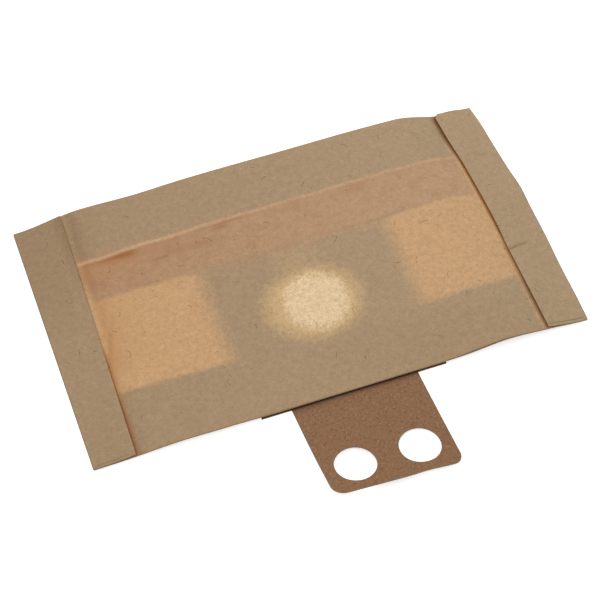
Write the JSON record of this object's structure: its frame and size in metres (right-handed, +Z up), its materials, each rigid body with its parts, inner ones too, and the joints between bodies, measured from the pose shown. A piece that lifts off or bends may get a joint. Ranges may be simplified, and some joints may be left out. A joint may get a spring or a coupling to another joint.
{
  "type": "vacuum cleaner dust bag",
  "caption": "Flat gusseted kraft paper dust bag with folded ends and a glued card collar whose pull tab has finger holes; its mouth fits over a cleaner's inlet.",
  "frame": {"origin": "on the table under the middle of the folded bag and its pull tab, at the centre of the bottom of the bounding box", "axes": "+X along the folded bag, +Y from the pull tab towards the bag's far edge, +Z up from the collar's underside to the top panel"},
  "size_m": [0.2, 0.1616, 0.0082],
  "materials": {
    "kraft_paper": "matt unbleached kraft filter paper, two plies, with fine dark fibres",
    "collar_board": "matt brown recycled board with a fine speckle and grey cut edges"
  },
  "bodies": {
    "root": {"filter_bag": "kraft_paper", "collar_card": "collar_board"}
  },
  "joints": []
}
